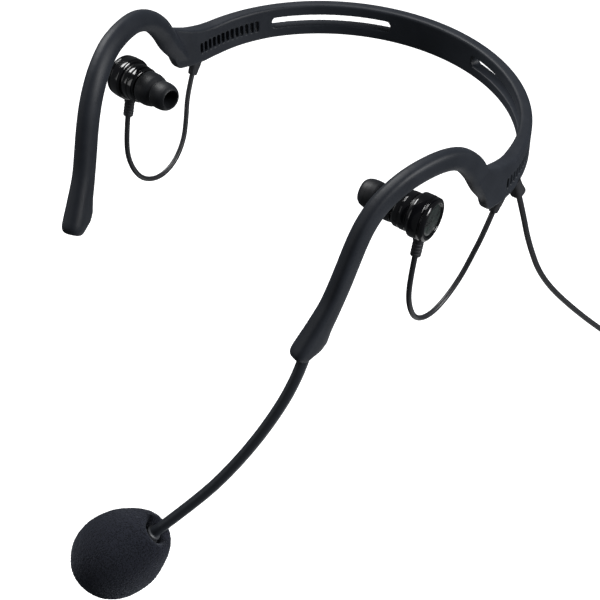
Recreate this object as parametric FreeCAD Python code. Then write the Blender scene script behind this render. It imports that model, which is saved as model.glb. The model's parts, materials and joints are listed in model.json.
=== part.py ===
import FreeCAD, Part
import math
import os
from FreeCAD import Vector

# Headset microphone, worn behind the neck.
# Millimetres. +Z is up, the wearer looks along -Y, and the wearer's left is +X.
# The origin is midway between the ears, on the mid-height plane of the neckband.

# ---- neckband --------------------------------------------------------------
BAND_HALF_WIDTH = 66.0      # inner half width, ear to ear
BAND_HALF_DEPTH = 61.5      # inner depth behind the ears
BAND_THICK = 3.9
BAND_HEIGHT = 12.2
SLOT_HEIGHT = 4.8           # long through slots
SLOT_GAP_HALF = 18.1        # solid web left at the back, half its width
SLOT_END_ANGLE = 31.0       # where each long slot ends, degrees from the ear line
LADDER_START_ANGLE = 6.5    # first small slot, degrees from the ear line
LADDER_COUNT = 12
LADDER_PITCH_ANGLE = 2.0
LADDER_WIDTH = 1.15
LADDER_HEIGHT = 4.4
SPRING_THICK = 0.9          # spring steel strip inside the upper rail
SPRING_HEIGHT = 1.9
WIRE_BUNDLE = 1.3           # square bundle of wires inside the lower rail
EMBED_ANGLE = 8.0           # the strip and the bundle stop this far from the ear line
BOARD_THICK = 0.8           # solder board in the left junction
BOARD_LENGTH = 7.0
BOARD_HEIGHT = 6.0
BOARD_Y = 0.5               # its middle
BOARD_Z = 1.0

# ---- junction plate between band and ear hook ------------------------------
NOTCH_Y = -2.0
NOTCH_Z = 9.4
NOTCH_RUN = 13.0            # length over which the band's top edge rises to the notch
NOTCH_ROUND = 1.4           # size of the chamfer at the notch
LOBE_Y = -8.2
LOBE_Z = -3.6
LOBE_RUN = 14.0             # length over which the lower edge rises to the lobe
LOBE_ROUND = 1.6            # size of the chamfer at the lobe
PLATE_TOP_Y = -11.5         # where the plate hands over to the hook sleeve
PLATE_TOP_Z = 16.5
PLATE_TOP_WIDTH = 8.3       # size of the plate's end there

# ---- ear hook and front leg ------------------------------------------------
EAR_X = BAND_HALF_WIDTH + BAND_THICK / 2    # mid-wall plane at the ears
HOOK_IN_PLANE = 7.9         # width of the sleeve seen from the side
HOOK_ACROSS = 6.3           # width of the sleeve seen from above
FLARE = 1.18                # how much the end of the leg widens
FLARE_STEPS = 3             # points of the line over which it widens
HOOK_WIRE = 1.8             # steel wire inside the sleeve
LEG_TOE_IN = 14.0           # degrees that the leg turns towards the face
LEG_END_LENGTH = 5.2        # end piece beyond the last point of the line

# centre line of the left hook, from the junction over the ear to the leg's end,
# as (distance outside the mid-wall plane, y, z)
HOOK_LINE = [
    (-0.35, -7.5, 3.6),
    (-0.55, -12.0, 9.0),
    (-1.05, -16.6, 15.3),
    (-1.95, -21.8, 22.0),
    (-2.95, -28.6, 26.0),
    (-4.65, -37.2, 26.9),
    (-6.75, -46.2, 25.6),
    (-8.95, -53.8, 21.6),
    (-10.35, -58.8, 16.4),
    (-11.25, -62.3, 10.6),
    (-12.15, -65.4, 3.4),
    (-13.05, -68.1, -3.6),
    (-14.15, -71.2, -10.8),
    (-15.45, -75.2, -17.4),
    (-16.85, -79.2, -23.4),
]
# the wire follows these points of the line
HOOK_WIRE_POINTS = [0, 2, 3, 4, 6, 8, 10, 12, 14]

# ---- glands under the band -------------------------------------------------
GLAND_SINK = 0.4            # how far each gland reaches up into the band
EAR_GLAND_Y = 3.4
EAR_GLAND_REACH = (-0.34, -3.1, -5.5)       # from its top to its end
EAR_GLAND_TOP = (2.4, 1.9)                  # half sizes along and across the band
EAR_GLAND_END = (1.7, 1.5)
MAIN_GLAND_Y = 13.2
MAIN_GLAND_OUT = 0.85       # its middle stands this far outside mid-wall
MAIN_GLAND_REACH = (0.57, 2.2, -5.9)
MAIN_GLAND_TOP = (1.9, 1.7)
MAIN_GLAND_END = (2.6, 2.4)

# ---- earphones -------------------------------------------------------------
BUD_OUT = -1.15             # outer face of the rear cap, from the mid-wall plane
BUD_Y = -35.8
BUD_Z = 7.6
CAP_RADIUS = 7.6
CAP_LENGTH = 6.2
CAP_CHAMFER = 0.5
SHELL_WALL = 1.0
NECK_CLEARANCE = 0.1        # neck ring inside the rear cap
NECK_SEAT = 2.0             # how far the neck ring goes into the rear cap
GROOVE_LENGTH = 0.7
FRONT_STEP = 1.0            # front housing is this much smaller in radius than the cap
FRONT_LENGTH = 4.2
FRONT_CHAMFER = 0.8
BADGE_RADIUS = 5.6
BADGE_DEPTH = 0.8
BADGE_THICK = 0.5
BADGE_CLEARANCE = 0.1
DRIVER_CLEARANCE = 0.2
DRIVER_LENGTH = 3.6
NOZZLE_RADIUS = 2.6
NOZZLE_BORE = 1.8
NOZZLE_LENGTH = 6.0
MESH_THICK = 0.4
MESH_DEPTH = 0.3            # mesh behind the nozzle's rim
TIP_GAP = 0.4               # between the tip's rear edge and the housing
TIP_CLEARANCE = 0.2         # tip round the nozzle
TIP_WALL = 0.8
TIP_LENGTH = 13.0
TIP_REAR_RADIUS = 6.3       # flange next to the housing
TIP_FRONT_RADIUS = 5.3      # smaller flange at the front
BUD_RELIEF_RADIUS = 1.85
BUD_RELIEF_LENGTH = 7.4
BUD_RELIEF_SET = 3.8        # strain relief's axis behind the outer face
BUD_RELIEF_SINK = 0.5       # how far it reaches into the cap
BUD_RELIEF_WAY = (0.0, -0.26, -0.96)

# ---- boom and microphone ---------------------------------------------------
BOOM_DIAMETER = 3.9
BOOM_WIRE = 1.6
BOOM_GAP = 0.9              # gap between two boom sleeves at a bending point
FERRULE_WALL = 0.95         # ferrule outside the boom's radius
FERRULE_LENGTH = 4.0
FERRULE_GAP = 0.4           # between the ferrule and the boom's first point
WIRE_CLEARANCE = 0.3        # bore of the ferrule round the boom's wire
# centre line of the boom, from the leg's end to the microphone, placed as HOOK_LINE is
BOOM_LINE = [
    (-16.75, -82.2, -29.4),
    (-17.55, -85.4, -37.0),
    (-22.75, -92.4, -53.2),
    (-30.35, -100.0, -70.2),
    (-39.75, -108.0, -86.6),
    (-53.35, -118.0, -105.0),
]
MIC_AXIS = Vector(-0.56, -0.45, -0.70)
COLLAR_RADIUS = 2.9
COLLAR_LENGTH = 2.6
MIC_RADIUS = 3.6
MIC_LENGTH = 11.0
MIC_WALL = 0.5
MIC_FLOOR = 1.0
CAPSULE_RADIUS = 2.0
CAPSULE_LENGTH = 2.7
GRILLE_THICK = 0.8
GRILLE_HOLE = 0.7
GRILLE_HOLES = 6
FOAM_RADIUS = 14.8
FOAM_LENGTH = 37.6
FOAM_CLEARANCE = 0.25       # foam round the microphone
FOAM_MOUTH_DEPTH = 3.4
FOAM_MOUTH_FLARE = 2.6      # dimple's rim outside the bore
FOAM_OVERHANG = 2.0         # how far the foam reaches up round the boom's end
FOAM_END_GAP = 1.0          # air in front of the grille

# ---- main cable and ear cables ---------------------------------------------
EAR_CABLE = 1.9
MAIN_CABLE = 2.1
MAIN_LENGTH = 1300.0        # from the gland to the plug's strain relief
# routes, placed as HOOK_LINE is
EAR_CABLE_LEAD = 8.2        # first run, straight on from the gland
EAR_CABLE_POINTS = [
    (-2.55, -6.9, -26.4),
    (-4.05, -11.0, -34.8),
    (-5.15, -18.8, -41.2),
    (-5.55, -28.2, -42.8),
    (-5.45, -37.2, -37.6),
    (-5.15, -41.3, -28.0),
    (-5.05, -41.2, -17.8),
]
MAIN_CABLE_POINTS = [
    (1.25, 18.6, -21.5),
    (3.65, 22.8, -36.5),
    (9.05, 31.5, -55.5),
    (18.05, 45.5, -76.0),
    (27.55, 59.5, -96.0),
    (33.25, 68.2, -111.0),
]
COIL_CENTRE = (40.05, 80.0, -122.0)
COIL_RADIUS = 13.0          # to the middle of the bundle of turns
COIL_BUNDLE = 5.8           # radius of the bundle
COIL_OUT = Vector(0.5, 0.866, 0.0)
TAIL_LENGTH = 22.0
TIE_LENGTH = 4.0
TIE_THICK = 0.8

# ---- plug ------------------------------------------------------------------
PLUG_RADIUS = 1.75
PLUG_LENGTH = 14.0
PLUG_END_RADIUS = 0.5
PLUG_BODY_RADIUS = 3.4
PLUG_BODY_LENGTH = 15.0
PLUG_RELIEF_LENGTH = 9.0
PLUG_RELIEF_WALL = 0.5      # relief round the cable at its thin end
PLUG_RELIEF_STEP = 0.9      # relief inside the plug body's rim
CONTACT_LENGTHS = [5.0, 2.2, 2.2]
INSULATOR_LENGTH = 0.6

X_AXIS = Vector(1, 0, 0)
Y_AXIS = Vector(0, 1, 0)
Z_AXIS = Vector(0, 0, 1)


def beside_ear(place):
    """Point from (distance outside the left mid-wall plane, y, z)."""
    return Vector(EAR_X + place[0], place[1], place[2])


def save(name, shape):
    if not shape.isValid():
        raise ValueError(name + " is not a valid shape")
    shape.exportStep("parts/" + name + ".step")
    print(name, len(shape.Solids), round(shape.Volume, 2))


def unit(vector):
    copy = Vector(vector)
    copy.normalize()
    return copy


def mirrored(shape):
    return shape.mirror(Vector(0, 0, 0), X_AXIS)


def largest(shape):
    return max(shape.Solids, key=lambda solid: solid.Volume)


def cylinder(radius, length, start, axis):
    return Part.makeCylinder(radius, length, start, unit(axis))


def tube(radius, bore, length, start, axis):
    lead = unit(axis) * 0.5
    outer = cylinder(radius, length, start, axis)
    return outer.cut(cylinder(bore, length + 1.0, start - lead, axis))


def ring_wall(inner_x, inner_y, thick, z_low, z_high):
    """Elliptical wall, from its inner half axes."""
    outer = Part.Ellipse(Vector(0, 0, z_low), inner_x + thick, inner_y + thick)
    inner = Part.Ellipse(Vector(0, 0, z_low), inner_x, inner_y)
    solids = []
    for curve in (outer, inner):
        wire = Part.Wire([curve.toShape()])
        solids.append(Part.Face(wire).extrude(Vector(0, 0, z_high - z_low)))
    return solids[0].cut(solids[1])


def band_direction(angle):
    """Point on the inner ellipse of the band, angle in degrees from the left ear."""
    turn = math.radians(angle)
    return Vector(BAND_HALF_WIDTH * math.cos(turn), BAND_HALF_DEPTH * math.sin(turn), 0)


def wedge(angle_a, angle_b, z_low, z_high):
    """Prism that holds the part of the ring between two angles."""
    reach = 2.0
    steps = 8
    points = [Vector(0, 0, z_low)]
    for index in range(steps + 1):
        rim = band_direction(angle_a + (angle_b - angle_a) * index / steps) * reach
        points.append(Vector(rim.x, rim.y, z_low))
    points.append(points[0])
    return Part.Face(Part.makePolygon(points)).extrude(Vector(0, 0, z_high - z_low))


def oval(centre, tangent, across, half_in_plane, half_across, power=2.4):
    """Closed rounded section across a sleeve."""
    side = unit(across - tangent * across.dot(tangent))
    rise = unit(tangent.cross(side))
    points = []
    count = 16
    for index in range(count):
        turn = 2 * math.pi * index / count
        c = math.copysign(abs(math.cos(turn)) ** (2 / power), math.cos(turn))
        s = math.copysign(abs(math.sin(turn)) ** (2 / power), math.sin(turn))
        points.append(centre + rise * (half_in_plane * c) + side * (half_across * s))
    curve = Part.BSplineCurve()
    curve.interpolate(points, PeriodicFlag=True)
    return Part.Wire([curve.toShape()])


def rounded_route(points):
    """Straight runs joined by tangent arcs; returns the wire and the arcs' radii."""
    edges = []
    radii = []
    start = points[0]
    for index in range(1, len(points) - 1):
        corner = points[index]
        back = points[index - 1] - corner
        ahead = points[index + 1] - corner
        shorter = min(back.Length, ahead.Length)
        half_turn = (math.pi - back.getAngle(ahead)) / 2
        radius = 0.45 * shorter / math.tan(half_turn)
        trim = 0.45 * shorter
        arc_in = corner + unit(back) * trim
        arc_out = corner + unit(ahead) * trim
        middle_way = unit(unit(back) + unit(ahead))
        apex = corner + middle_way * (radius / math.cos(half_turn) - radius)
        edges.append(Part.LineSegment(start, arc_in).toShape())
        edges.append(Part.Arc(arc_in, apex, arc_out).toShape())
        start = arc_out
        radii.append(round(radius, 1))
    edges.append(Part.LineSegment(start, points[-1]).toShape())
    return Part.Wire(edges), radii


def swept(points, radius, label):
    """Round bar along a route of runs and arcs."""
    if len(points) == 2:
        return cylinder(radius, (points[1] - points[0]).Length, points[0], points[1] - points[0])
    path, radii = rounded_route(points)
    direction = unit(points[1] - points[0])
    circle = Part.Wire([Part.Circle(points[0], direction, radius).toShape()])
    solid = path.makePipeShell([circle], True, True)
    ideal = math.pi * radius ** 2 * path.Length
    print(label, "length", round(path.Length, 1), "radii", radii,
          "volume share", round(solid.Volume / ideal, 3))
    return solid


def build_band():
    half = BAND_HEIGHT / 2
    top_room = PLATE_TOP_Z + 10
    low_room = -half - 2
    ring = ring_wall(BAND_HALF_WIDTH, BAND_HALF_DEPTH, BAND_THICK, low_room, top_room)
    width = 2 * (BAND_HALF_WIDTH + BAND_THICK) + 4
    behind = Part.makeBox(width, BAND_HALF_DEPTH + BAND_THICK + 2, top_room - low_room,
                          Vector(-width / 2, 0, low_room))
    band = ring.common(behind)
    reach = 20.0
    for side in (-1, 1):
        low_x = BAND_HALF_WIDTH if side > 0 else -BAND_HALF_WIDTH - BAND_THICK
        plate = Part.makeBox(BAND_THICK, reach, top_room - low_room,
                             Vector(low_x, -reach, low_room))
        band = band.fuse(plate)
    far = BAND_HALF_DEPTH + BAND_THICK + 1
    outline = [
        Vector(0, far, -half),
        Vector(0, LOBE_Y + LOBE_RUN, -half),
        Vector(0, LOBE_Y + LOBE_ROUND, LOBE_Z - LOBE_ROUND / 2),
        Vector(0, LOBE_Y, LOBE_Z),
        Vector(0, LOBE_Y - LOBE_ROUND * 0.75, LOBE_Z + LOBE_ROUND),
        Vector(0, PLATE_TOP_Y - PLATE_TOP_WIDTH * 0.6, PLATE_TOP_Z - PLATE_TOP_WIDTH * 0.8),
        Vector(0, PLATE_TOP_Y + PLATE_TOP_WIDTH * 0.2, PLATE_TOP_Z - PLATE_TOP_WIDTH * 0.17),
        Vector(0, NOTCH_Y - NOTCH_ROUND, NOTCH_Z + NOTCH_ROUND * 0.7),
        Vector(0, NOTCH_Y + NOTCH_ROUND, NOTCH_Z),
        Vector(0, NOTCH_Y + NOTCH_RUN * 0.4, half + (NOTCH_Z - half) * 0.42),
        Vector(0, NOTCH_Y + NOTCH_RUN, half),
        Vector(0, far, half),
    ]
    outline.append(outline[0])
    profile = Part.Face(Part.makePolygon(outline)).extrude(Vector(width, 0, 0))
    profile.translate(Vector(-width / 2, 0, 0))
    band = band.common(profile).removeSplitter()
    long_slot = wedge(SLOT_END_ANGLE, slot_web_angle(), -SLOT_HEIGHT / 2, SLOT_HEIGHT / 2)
    band = band.cut(long_slot).cut(mirrored(long_slot))
    for index in range(LADDER_COUNT):
        slot = ladder_slot(LADDER_START_ANGLE + index * LADDER_PITCH_ANGLE)
        band = band.cut(slot).cut(mirrored(slot))
    return band


def slot_web_angle():
    return math.degrees(math.acos(SLOT_GAP_HALF / BAND_HALF_WIDTH))


def ladder_slot(angle):
    centre = band_direction(angle)
    normal = unit(Vector(math.cos(math.radians(angle)) / BAND_HALF_WIDTH,
                         math.sin(math.radians(angle)) / BAND_HALF_DEPTH, 0))
    block = Part.makeBox(4 * BAND_THICK, LADDER_WIDTH, LADDER_HEIGHT,
                         Vector(-2 * BAND_THICK, -LADDER_WIDTH / 2, -LADDER_HEIGHT / 2))
    block.rotate(Vector(0, 0, 0), Z_AXIS, math.degrees(math.atan2(normal.y, normal.x)))
    block.translate(centre)
    return block


def embedded_strip(thick, height, z_middle):
    """Flat strip at mid thickness of the band's wall."""
    offset = (BAND_THICK - thick) / 2
    ring = ring_wall(BAND_HALF_WIDTH + offset, BAND_HALF_DEPTH + offset, thick,
                     z_middle - height / 2, z_middle + height / 2)
    return ring.common(wedge(EMBED_ANGLE, 180 - EMBED_ANGLE, z_middle - height,
                             z_middle + height))


def hook_tangent(index):
    before = beside_ear(HOOK_LINE[max(index - 1, 0)])
    after = beside_ear(HOOK_LINE[min(index + 1, len(HOOK_LINE) - 1)])
    return unit(after - before)


def hook_across(index):
    """Direction of the sleeve's narrow side, turning with the leg's toe-in."""
    turn = math.radians(-LEG_TOE_IN * index / (len(HOOK_LINE) - 1))
    return Vector(math.cos(turn), math.sin(turn), 0)


def leg_end():
    """Last point of the leg's centre line and its direction."""
    last = len(HOOK_LINE) - 1
    return beside_ear(HOOK_LINE[last]), hook_tangent(last)


def build_hook(half_in_plane, half_across):
    last = len(HOOK_LINE) - 1
    sections = []
    for index, place in enumerate(HOOK_LINE):
        share = max(0.0, (index - last + FLARE_STEPS) / FLARE_STEPS)
        grow = 1 + (FLARE - 1) * share
        sections.append(oval(beside_ear(place), hook_tangent(index), hook_across(index),
                             half_in_plane * grow, half_across * grow))
    return Part.makeLoft(sections, True, False)


def build_leg_end():
    centre, along = leg_end()
    across = hook_across(len(HOOK_LINE) - 1)
    sections = []
    for share, grow in ((0.0, 1.0), (0.45, 1.02), (0.8, 0.82), (1.0, 0.45)):
        sections.append(oval(centre + along * (LEG_END_LENGTH * share), along, across,
                             HOOK_IN_PLANE / 2 * FLARE * grow,
                             HOOK_ACROSS / 2 * FLARE * grow))
    return Part.makeLoft(sections, True, False)


def tapered_gland(top, bottom, half_top, half_bottom):
    along = unit(bottom - top)
    sections = []
    for centre, half in ((top, half_top), (bottom, half_bottom)):
        sections.append(oval(centre, along, X_AXIS, half[0], half[1], 3.0))
    return Part.makeLoft(sections, True, True)


# ---- boom ------------------------------------------------------------------

def boom_point(index):
    return beside_ear(BOOM_LINE[index])


def boom_hinges():
    """Bending points of the boom: its base, then the middle of each inner run."""
    points = [boom_point(0)]
    for index in range(1, len(BOOM_LINE) - 2):
        points.append((boom_point(index) + boom_point(index + 1)) * 0.5)
    return points


def boom_part_route(index):
    """Start, corner and end of one stretch of the boom, clear of its bending points."""
    hinges = boom_hinges()
    corner = boom_point(index + 1)
    start = hinges[index]
    last = index == len(hinges) - 1
    end = boom_point(-1) if last else hinges[index + 1]
    start = start + unit(corner - start) * (BOOM_GAP / 2)
    if not last:
        end = end + unit(corner - end) * (BOOM_GAP / 2)
    return [start, corner, end]


def save_boom():
    for index in range(len(boom_hinges())):
        route = boom_part_route(index)
        core = swept(route, BOOM_WIRE / 2, "boom wire %d" % (index + 1))
        sleeve = swept(route, BOOM_DIAMETER / 2, "boom sleeve %d" % (index + 1))
        core = largest(core.cut(build_collar()))
        sleeve = largest(sleeve.cut(build_collar()))
        save("boom_sleeve_%d" % (index + 1), sleeve.cut(core))
        save("boom_wire_%d" % (index + 1), core)


# ---- microphone ------------------------------------------------------------

def along_mic(distance):
    return boom_point(-1) + unit(MIC_AXIS) * distance


def build_collar():
    return cylinder(COLLAR_RADIUS, COLLAR_LENGTH, along_mic(0), MIC_AXIS)


def save_microphone():
    axis = unit(MIC_AXIS)
    save("mic_collar", build_collar())
    bore = MIC_RADIUS - MIC_WALL
    shell = cylinder(MIC_RADIUS, MIC_LENGTH, along_mic(COLLAR_LENGTH), axis)
    room = cylinder(bore, MIC_LENGTH, along_mic(COLLAR_LENGTH + MIC_FLOOR), axis)
    save("mic_housing", shell.cut(room))
    grille_start = COLLAR_LENGTH + MIC_LENGTH - GRILLE_THICK
    capsule_start = grille_start - CAPSULE_LENGTH
    seat = tube(bore, CAPSULE_RADIUS, CAPSULE_LENGTH, along_mic(capsule_start), axis)
    save("mic_capsule_seat", seat)
    save("mic_capsule", cylinder(CAPSULE_RADIUS, CAPSULE_LENGTH, along_mic(capsule_start), axis))
    grille = cylinder(bore, GRILLE_THICK, along_mic(grille_start), axis)
    across = unit(axis.cross(Z_AXIS))
    up = unit(across.cross(axis))
    ring = bore * 0.55
    for index in range(GRILLE_HOLES):
        turn = 2 * math.pi * index / GRILLE_HOLES
        offset = across * (ring * math.cos(turn)) + up * (ring * math.sin(turn))
        hole = cylinder(GRILLE_HOLE / 2, GRILLE_THICK + 1, along_mic(grille_start - 0.5) + offset,
                        axis)
        grille = grille.cut(hole)
    save("mic_grille", grille)
    save("foam_windscreen", build_foam())


def build_foam():
    """Egg of foam, open towards the boom, with a dimple round its mouth."""
    half = FOAM_LENGTH / 2
    curve = Part.Ellipse(Vector(0, 0, 0), half, FOAM_RADIUS)
    arc = Part.Arc(curve, 0, math.pi).toShape()
    chord = Part.LineSegment(Vector(-half, 0, 0), Vector(half, 0, 0)).toShape()
    egg = Part.Face(Part.Wire([arc, chord])).revolve(Vector(0, 0, 0), X_AXIS, 360)
    bore = MIC_RADIUS + FOAM_CLEARANCE
    depth = FOAM_OVERHANG + COLLAR_LENGTH + MIC_LENGTH + FOAM_END_GAP
    hole = cylinder(bore, depth + 1, Vector(-half - 1, 0, 0), X_AXIS)
    dimple = Part.makeCone(bore + FOAM_MOUTH_FLARE, bore, FOAM_MOUTH_DEPTH,
                           Vector(-half - 0.2, 0, 0), X_AXIS)
    egg = egg.cut(hole).cut(dimple)
    turn = FreeCAD.Rotation(X_AXIS, unit(MIC_AXIS))
    egg.Placement = FreeCAD.Placement(along_mic(half - FOAM_OVERHANG), turn)
    return egg


# ---- earphones -------------------------------------------------------------

def inward(distance):
    """Point on the earphone's axis, measured from the outer face towards the ear."""
    return Vector(EAR_X + BUD_OUT - distance, BUD_Y, BUD_Z)


def turned(outline, start):
    """Solid of revolution on the earphone's axis, from (distance inward, radius) pairs."""
    face_x = inward(start).x
    points = [Vector(face_x - along, radius, 0) for along, radius in outline]
    points.append(points[0])
    solid = Part.Face(Part.makePolygon(points)).revolve(Vector(0, 0, 0), X_AXIS, 360)
    solid.translate(Vector(0, BUD_Y, BUD_Z))
    return solid


def build_ear_tip(start):
    """Soft tip with two flanges; start is the place of its rear edge."""
    bore = NOZZLE_RADIUS + TIP_CLEARANCE
    stem = bore + TIP_WALL
    length = TIP_LENGTH
    rear = TIP_REAR_RADIUS
    front = TIP_FRONT_RADIUS
    return turned([
        (0.6, bore), (length - 0.9, bore), (length, bore + 0.6), (length, stem + 0.1),
        (length - 0.5, (stem + front) / 2), (length - 1.6, front - 0.35), (length - 3.2, front),
        (length - 5.4, front), (length - 6.2, front - 0.5), (length - 7.2, rear - 1.1),
        (length - 8.8, rear - 0.3), (length - 10.6, rear), (0.0, rear - 0.2),
        (0.0, rear - 1.0), (4.0, stem + 0.6), (4.0, stem), (0.6, stem),
    ], start)


def chamfered_cylinder(radius, start, length, chamfer_outer, chamfer_inner):
    """Turned disc, its first edge and its last edge chamfered."""
    return turned([
        (0.0, 0.0), (0.0, radius - chamfer_outer), (chamfer_outer, radius),
        (length - chamfer_inner, radius), (length, radius - chamfer_inner), (length, 0.0),
    ], start)


def build_bud(gland_end):
    """Every part of the left earphone, by name."""
    neck_radius = CAP_RADIUS - SHELL_WALL - NECK_CLEARANCE
    neck_bore = neck_radius - SHELL_WALL
    front_start = CAP_LENGTH + GROOVE_LENGTH
    front_end = front_start + FRONT_LENGTH
    cap = chamfered_cylinder(CAP_RADIUS, 0.0, CAP_LENGTH, CAP_CHAMFER, CAP_CHAMFER)
    cap = cap.cut(cylinder(CAP_RADIUS - SHELL_WALL, CAP_LENGTH,
                           inward(BADGE_DEPTH + SHELL_WALL), -X_AXIS))
    cap = cap.cut(cylinder(BADGE_RADIUS, BADGE_DEPTH, inward(0), -X_AXIS))
    badge = cylinder(BADGE_RADIUS - BADGE_CLEARANCE, BADGE_THICK,
                     inward(BADGE_DEPTH - BADGE_THICK), -X_AXIS)
    neck = tube(neck_radius, neck_bore, GROOVE_LENGTH + NECK_SEAT,
                inward(CAP_LENGTH - NECK_SEAT), -X_AXIS)
    front = chamfered_cylinder(CAP_RADIUS - FRONT_STEP, front_start, FRONT_LENGTH,
                               CAP_CHAMFER, FRONT_CHAMFER)
    front = front.cut(cylinder(neck_bore, FRONT_LENGTH - SHELL_WALL, inward(front_start),
                               -X_AXIS))
    front = front.cut(cylinder(NOZZLE_BORE, FRONT_LENGTH, inward(front_start), -X_AXIS))
    driver = cylinder(neck_bore - DRIVER_CLEARANCE, DRIVER_LENGTH,
                      inward(front_end - SHELL_WALL - DRIVER_CLEARANCE - DRIVER_LENGTH), -X_AXIS)
    nozzle = tube(NOZZLE_RADIUS, NOZZLE_BORE, NOZZLE_LENGTH, inward(front_end), -X_AXIS)
    mesh = cylinder(NOZZLE_BORE, MESH_THICK,
                    inward(front_end + NOZZLE_LENGTH - MESH_THICK - MESH_DEPTH), -X_AXIS)
    relief_top = inward(BUD_RELIEF_SET) - Z_AXIS * (CAP_RADIUS - BUD_RELIEF_SINK)
    relief_top = relief_top - Y_AXIS * 0.4
    relief_way = unit(Vector(*BUD_RELIEF_WAY))
    relief_end = relief_top + relief_way * BUD_RELIEF_LENGTH
    relief = cylinder(BUD_RELIEF_RADIUS, BUD_RELIEF_LENGTH, relief_top, relief_way)
    route = [gland_end, gland_end + unit(Vector(*EAR_GLAND_REACH)) * EAR_CABLE_LEAD]
    route = route + [beside_ear(place) for place in EAR_CABLE_POINTS] + [relief_end]
    return {
        "bud_rear_cap": cap.cut(relief),
        "bud_badge_disc": badge,
        "bud_neck_ring": neck.cut(relief),
        "bud_front_housing": front,
        "bud_driver": driver,
        "bud_nozzle": nozzle,
        "bud_nozzle_mesh": mesh,
        "bud_strain_relief": relief,
        "ear_cable": swept(route, EAR_CABLE / 2, "ear cable"),
        "ear_tip": build_ear_tip(front_end + TIP_GAP),
    }


# ---- main cable ------------------------------------------------------------

def coil_side(share):
    """Middle of the bundle of turns: share -1 is the side nearest the band, 1 the far side."""
    return beside_ear(COIL_CENTRE) + unit(COIL_OUT) * (COIL_RADIUS * share)


def save_main_cable(gland, gland_end):
    down = -Z_AXIS
    axis = unit(COIL_OUT.cross(Z_AXIS))
    coil = Part.makeTorus(COIL_RADIUS, COIL_BUNDLE, beside_ear(COIL_CENTRE), axis)
    route = [gland_end] + [beside_ear(place) for place in MAIN_CABLE_POINTS] + [coil_side(-1)]
    lead = swept(route, MAIN_CABLE / 2, "main cable")
    save("main_cable_lead", largest(lead.cut(coil).cut(gland)))
    save("main_cable_coil", coil)
    tie = cylinder(COIL_BUNDLE + TIE_THICK, TIE_LENGTH,
                   coil_side(1) - Z_AXIS * (TIE_LENGTH / 2), Z_AXIS)
    save("cable_tie", tie.cut(coil))
    tail = cylinder(MAIN_CABLE / 2, TAIL_LENGTH, coil_side(-1), down)
    save("main_cable_tail", largest(tail.cut(coil)))
    relief_top = coil_side(-1) + down * TAIL_LENGTH
    relief = Part.makeCone(MAIN_CABLE / 2 + PLUG_RELIEF_WALL, PLUG_BODY_RADIUS - PLUG_RELIEF_STEP,
                           PLUG_RELIEF_LENGTH, relief_top, down)
    save("plug_strain_relief", relief)
    body_top = relief_top + down * PLUG_RELIEF_LENGTH
    save("plug_body", cylinder(PLUG_BODY_RADIUS, PLUG_BODY_LENGTH, body_top, down))
    save_plug_pin(body_top + down * PLUG_BODY_LENGTH)


def save_plug_pin(top):
    """Four contacts, apart from each other by three insulating rings."""
    down = -Z_AXIS
    contacts = []
    rings = []
    level = 0.0
    for length in CONTACT_LENGTHS:
        contacts.append(cylinder(PLUG_RADIUS, length, top + down * level, down))
        level += length
        rings.append(cylinder(PLUG_RADIUS, INSULATOR_LENGTH, top + down * level, down))
        level += INSULATOR_LENGTH
    tip_length = PLUG_LENGTH - level
    straight = tip_length * 0.35
    end = cylinder(PLUG_RADIUS, straight, top + down * level, down)
    cone = Part.makeCone(PLUG_RADIUS, PLUG_END_RADIUS, tip_length - straight,
                         top + down * (level + straight), down)
    contacts.append(end.fuse(cone))
    save("plug_contacts", Part.makeCompound(contacts))
    save("plug_insulators", Part.makeCompound(rings))


# ---- the whole headset -----------------------------------------------------

def mid_wall_x(y):
    """Distance of the band's mid-wall from the middle plane, beside the given y."""
    half_x = BAND_HALF_WIDTH + BAND_THICK / 2
    half_y = BAND_HALF_DEPTH + BAND_THICK / 2
    return half_x * math.sqrt(1 - (y / half_y) ** 2)


def gland_line(y, out, reach):
    """Top and end of a gland under the band."""
    top = Vector(mid_wall_x(y) + out, y, GLAND_SINK - BAND_HEIGHT / 2)
    return top, top + Vector(*reach)


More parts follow.
